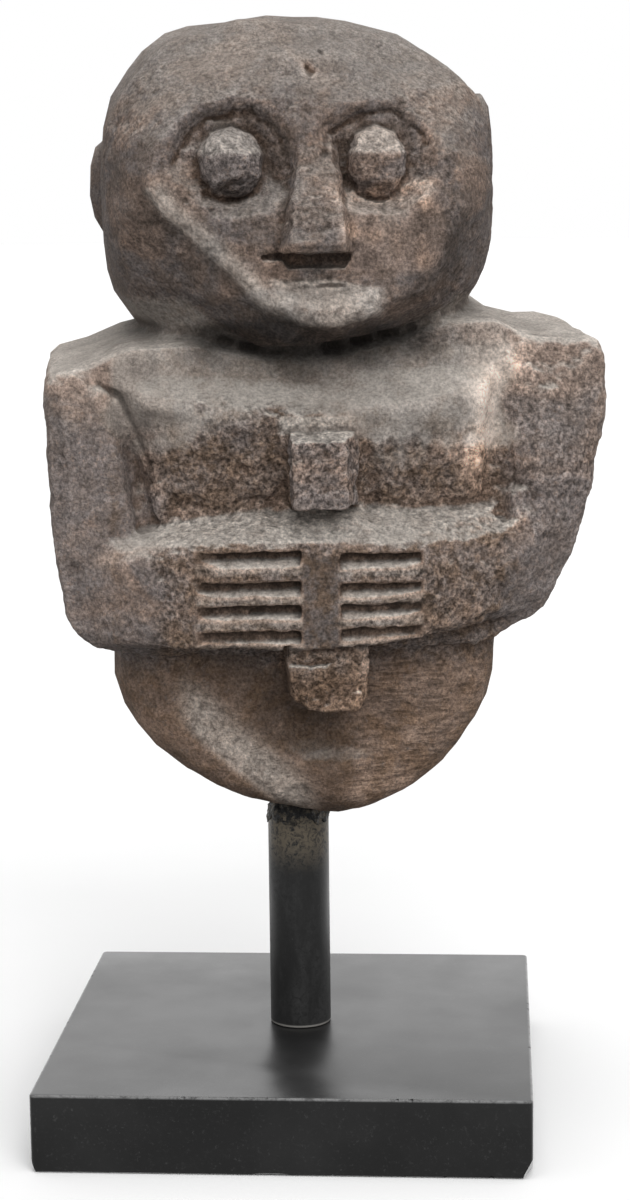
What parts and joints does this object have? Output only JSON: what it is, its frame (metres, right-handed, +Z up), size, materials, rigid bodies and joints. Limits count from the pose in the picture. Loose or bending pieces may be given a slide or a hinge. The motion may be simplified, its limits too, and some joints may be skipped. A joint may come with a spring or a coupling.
{
  "type": "carved stone figure on a stand",
  "caption": "Carved volcanic stone half figure with folded arms, held up by a black round bar on a square black slab.",
  "frame": {"origin": "centre of the slab's underside", "axes": "+Z up, the figure looks along -Y and a little towards +X, +X to the viewer's right"},
  "size_m": [0.2949, 0.25, 0.5703],
  "materials": {
    "weathered_stone": "rough pecked and weathered volcanic stone",
    "setting_compound": "rough black setting resin",
    "black_steel": "satin black, a little worn",
    "black_slab_stone": "honed black stone with a soft sheen"
  },
  "bodies": {
    "root": {"stone_figure": "weathered_stone", "setting_collar": "setting_compound", "support_rod": "black_steel", "base_slab": "black_slab_stone"}
  },
  "joints": []
}
